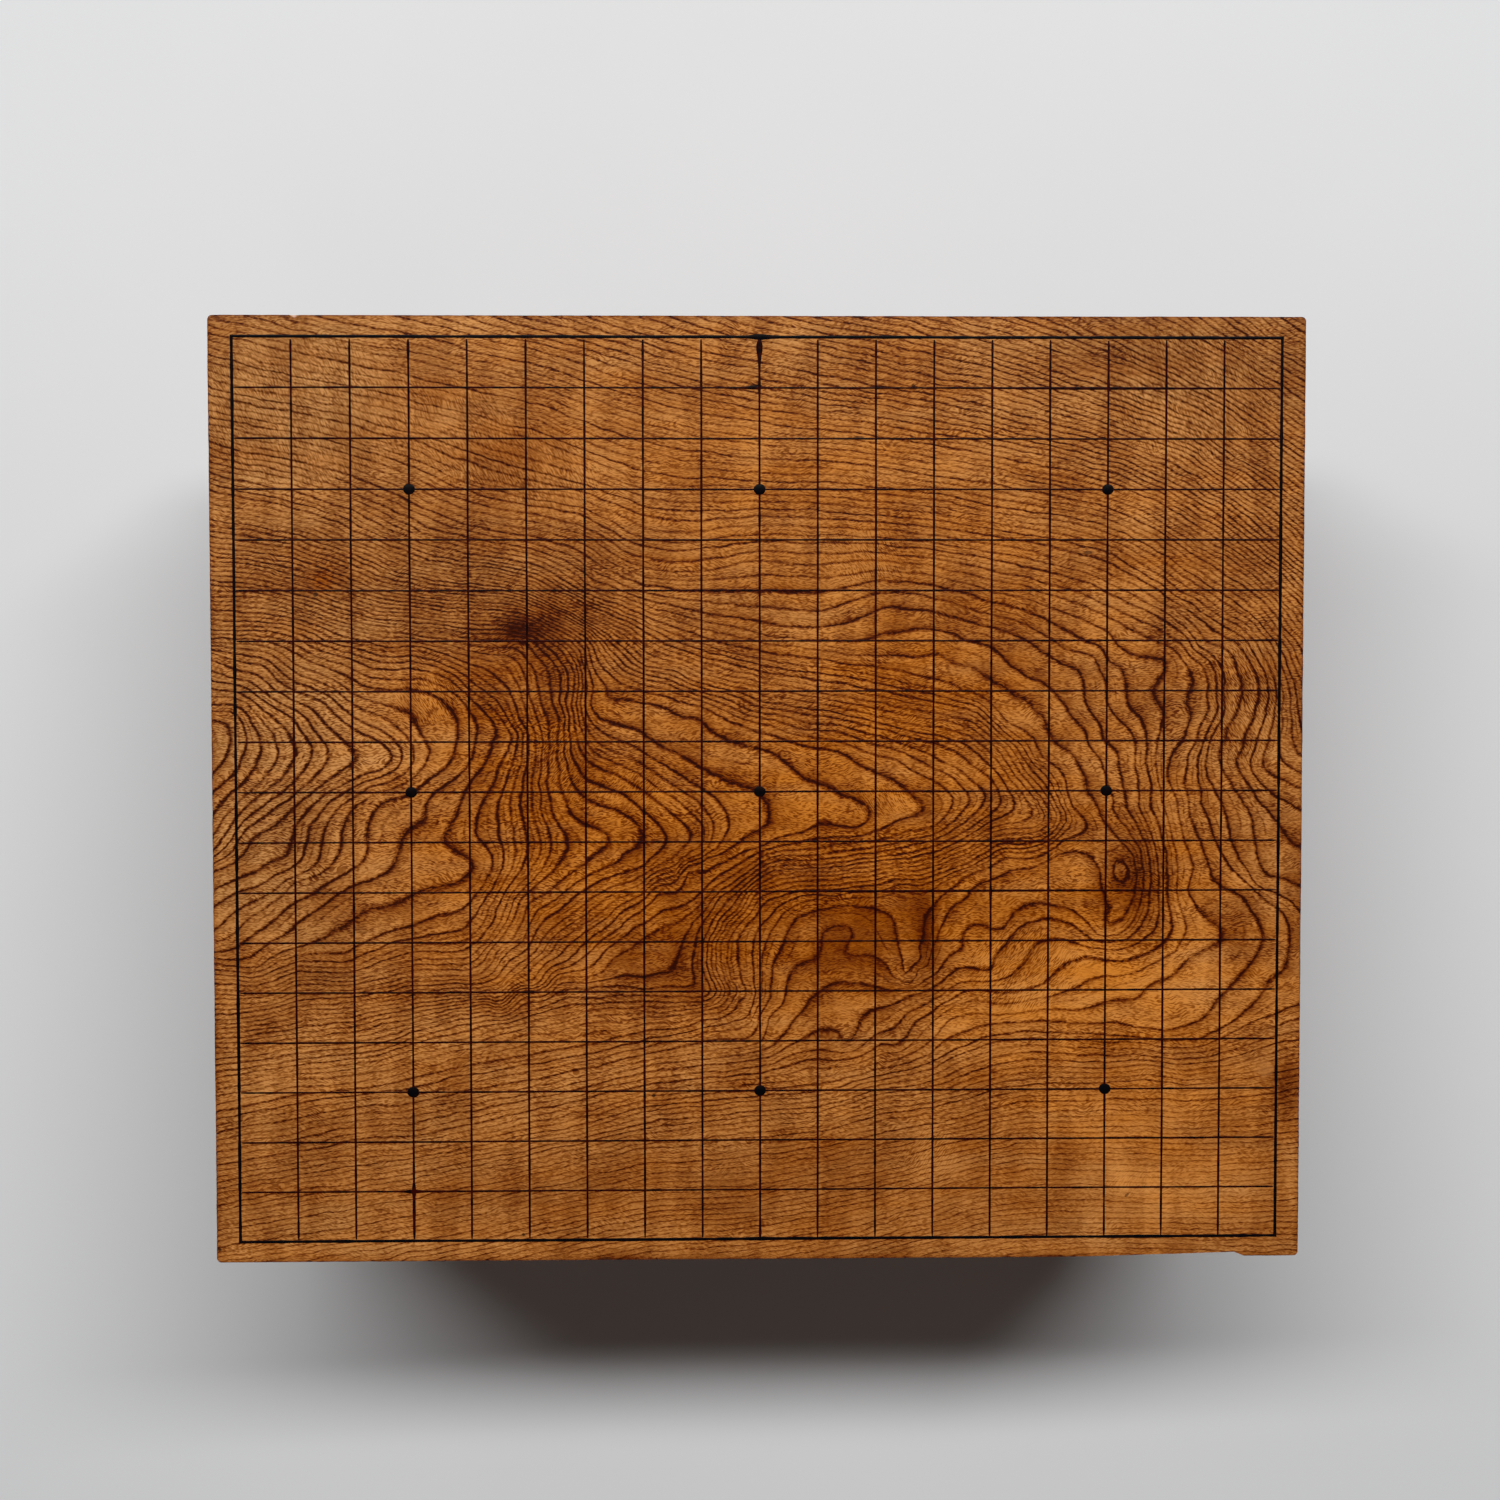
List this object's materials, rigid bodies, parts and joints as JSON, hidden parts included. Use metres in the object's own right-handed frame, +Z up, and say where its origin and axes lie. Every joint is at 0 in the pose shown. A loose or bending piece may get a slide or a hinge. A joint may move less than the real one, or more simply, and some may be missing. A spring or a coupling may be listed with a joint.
{
  "type": "weiqi board",
  "caption": "Floor-standing weiqi board: a thick solid wood block with a lacquered line grid and star points, on carved pull-out legs.",
  "frame": {"origin": "on the floor below the middle of the board, at the centre of the bounding box's base", "axes": "+Z up, +X along the board's long side, +Y from the front player towards the back player"},
  "size_m": [0.4546, 0.394, 0.2335],
  "materials": {
    "block_wood": "oiled zelkova with strong figure, satin",
    "leg_wood": "oiled zelkova, satin",
    "lacquer": "black lacquer, hand laid"
  },
  "bodies": {
    "block": {"board_block": "block_wood", "border_line": "lacquer", "grid_lines": "lacquer", "star_points": "lacquer"},
    "leg_front_left": {"leg_front_left": "leg_wood"},
    "leg_front_right": {"leg_front_right": "leg_wood"},
    "leg_back_left": {"leg_back_left": "leg_wood"},
    "leg_back_right": {"leg_back_right": "leg_wood"}
  },
  "joints": [
    {"name": "leg_front_left_pull", "type": "slide", "parent": "block", "child": "leg_front_left", "axis": [0, 0, -1], "range_m": [0, 0.04]},
    {"name": "leg_front_right_pull", "type": "slide", "parent": "block", "child": "leg_front_right", "axis": [0, 0, -1], "range_m": [0, 0.04]},
    {"name": "leg_back_left_pull", "type": "slide", "parent": "block", "child": "leg_back_left", "axis": [0, 0, -1], "range_m": [0, 0.04]},
    {"name": "leg_back_right_pull", "type": "slide", "parent": "block", "child": "leg_back_right", "axis": [0, 0, -1], "range_m": [0, 0.04]}
  ]
}
